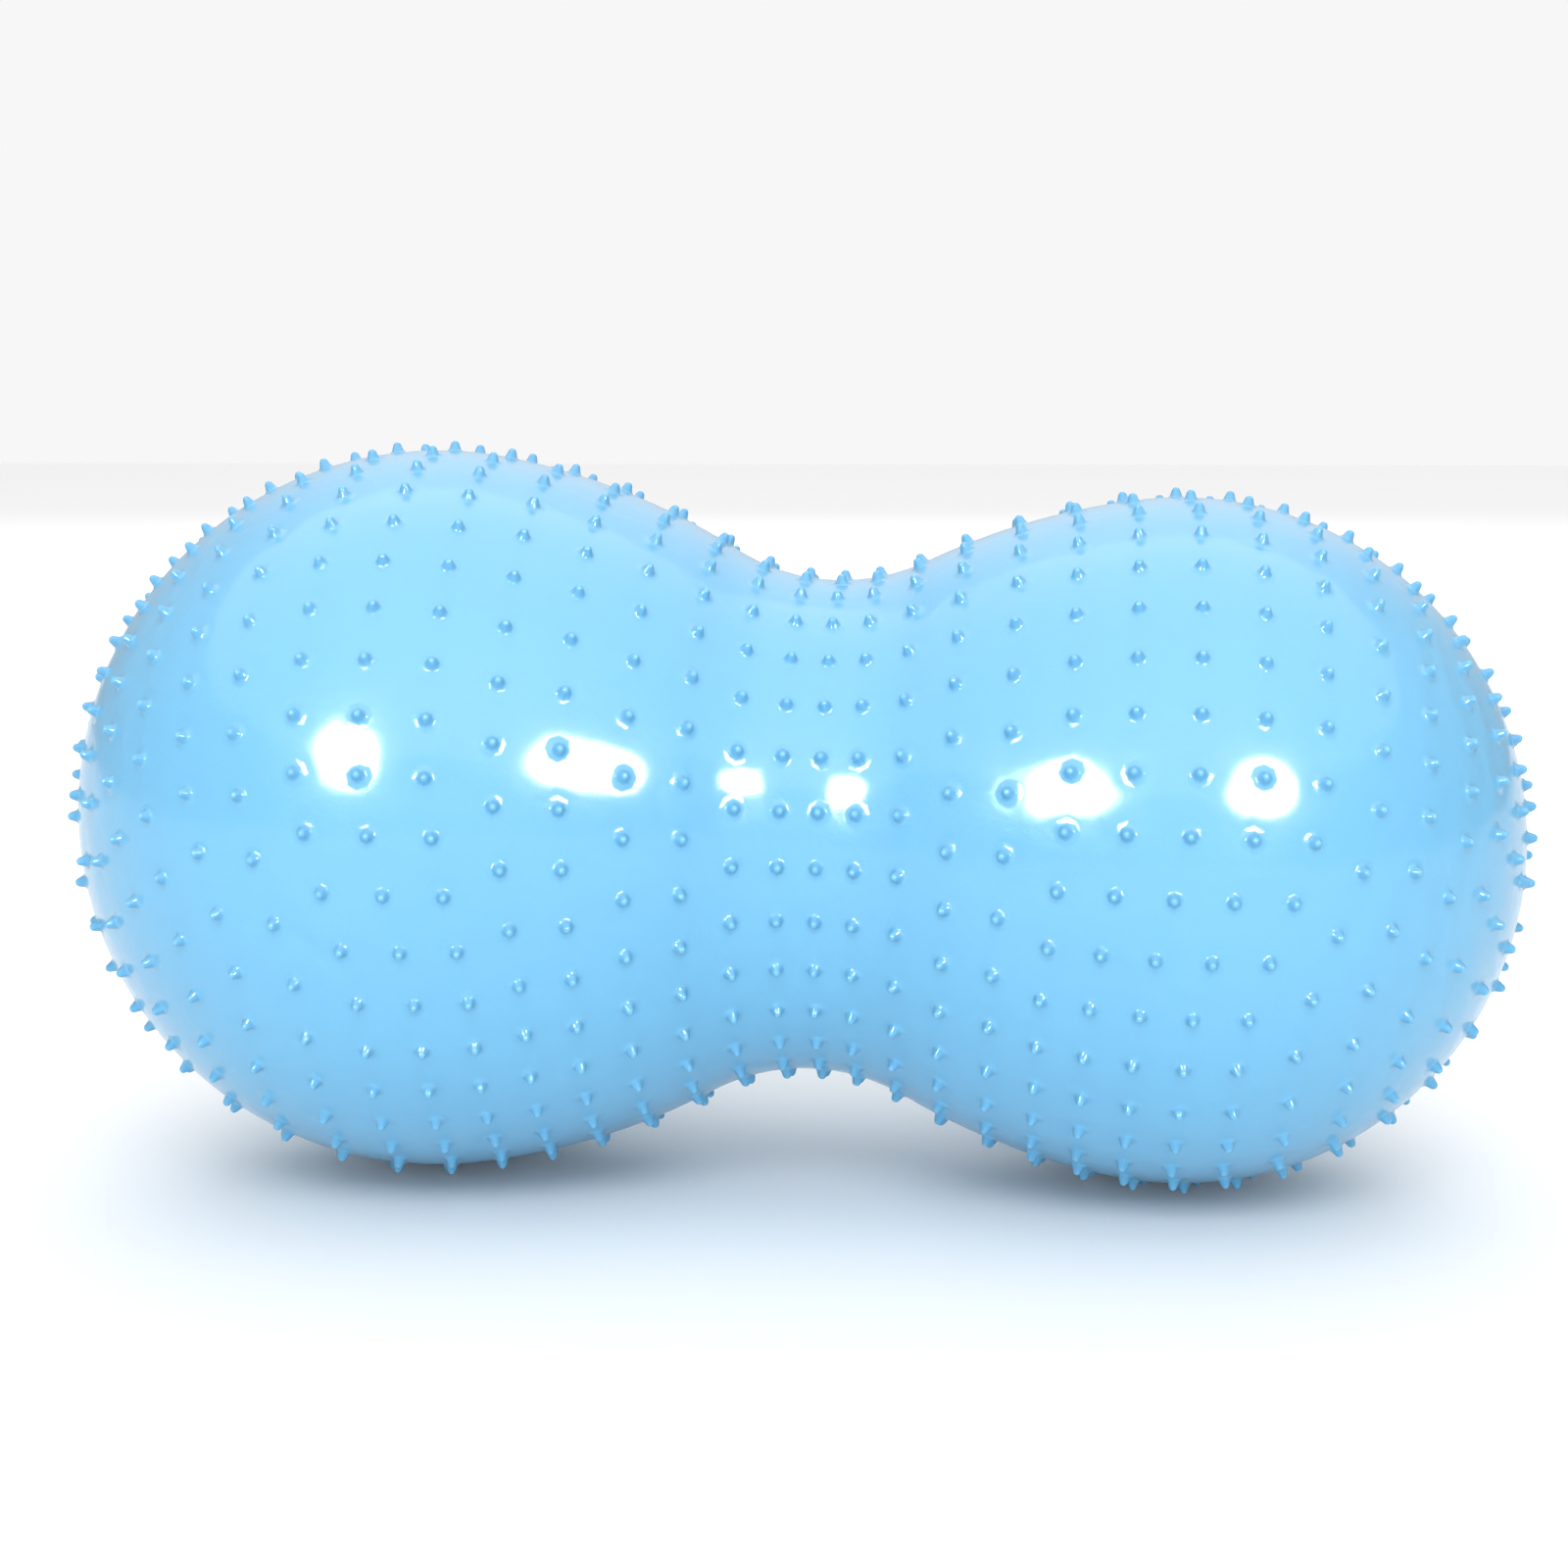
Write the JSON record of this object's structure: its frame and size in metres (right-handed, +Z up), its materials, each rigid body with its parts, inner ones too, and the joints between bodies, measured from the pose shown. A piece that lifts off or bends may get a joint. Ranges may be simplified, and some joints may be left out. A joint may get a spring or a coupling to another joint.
{
  "type": "peanut exercise ball",
  "caption": "Blue peanut-shaped exercise ball of soft vinyl, nubbed all over, with a stopper pressed into one end.",
  "frame": {"origin": "middle of the ball's outline on the surface that it stands on", "axes": "+Z up, +X along the long axis towards the slimmer lobe, stopper at the -X end"},
  "size_m": [1.0114, 0.5168, 0.5148],
  "materials": {
    "vinyl": "gloss",
    "stopper": "satin"
  },
  "bodies": {
    "root": {"ball_body": "vinyl", "valve_stopper": "stopper"}
  },
  "joints": []
}
